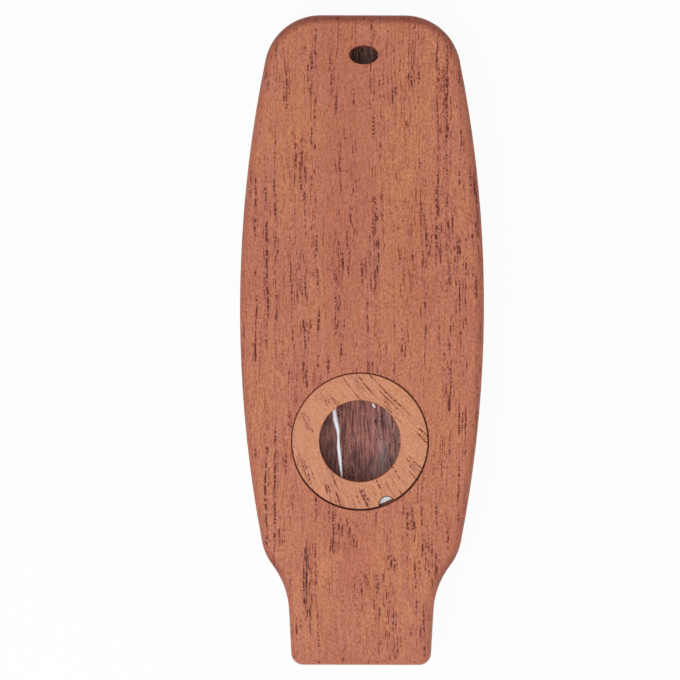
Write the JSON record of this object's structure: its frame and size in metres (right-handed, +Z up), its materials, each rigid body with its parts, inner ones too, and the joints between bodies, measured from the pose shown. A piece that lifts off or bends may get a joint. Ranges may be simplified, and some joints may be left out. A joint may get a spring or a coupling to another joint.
{
  "type": "kazoo",
  "caption": "Flat wooden kazoo with a narrow mouth end, a clear buzzing film under a lift-out ring and a small oval sound outlet.",
  "frame": {"origin": "under the middle of the body, on the surface that the kazoo lies on", "axes": "+X across to the right seen from the front, +Y along the body from the mouth end to the wide end, +Z up out of the face"},
  "size_m": [0.045, 0.12, 0.013],
  "materials": {
    "sapele_boards": "satin lacquered sapele, grain along the length, dark open pores",
    "ring_wood": "satin lacquered sapele of a paler piece, grain turned against the body's",
    "clear_film": "clear glossy film with a white crease"
  },
  "bodies": {
    "body": {"back_board": "sapele_boards", "core_frame": "sapele_boards", "front_board": "sapele_boards"},
    "ring": {"retaining_ring": "ring_wood"},
    "film": {"membrane": "clear_film"}
  },
  "joints": [
    {"name": "ring_lift", "type": "slide", "parent": "body", "child": "ring", "axis": [0, 0, 1], "range_m": [0, 0.02]},
    {"name": "film_lift", "type": "slide", "parent": "body", "child": "film", "axis": [0, 0, 1], "range_m": [0, 0.01]}
  ],
  "couplings": [
    {"joint": "film_lift", "follows": "ring_lift", "ratio": 0.5}
  ]
}
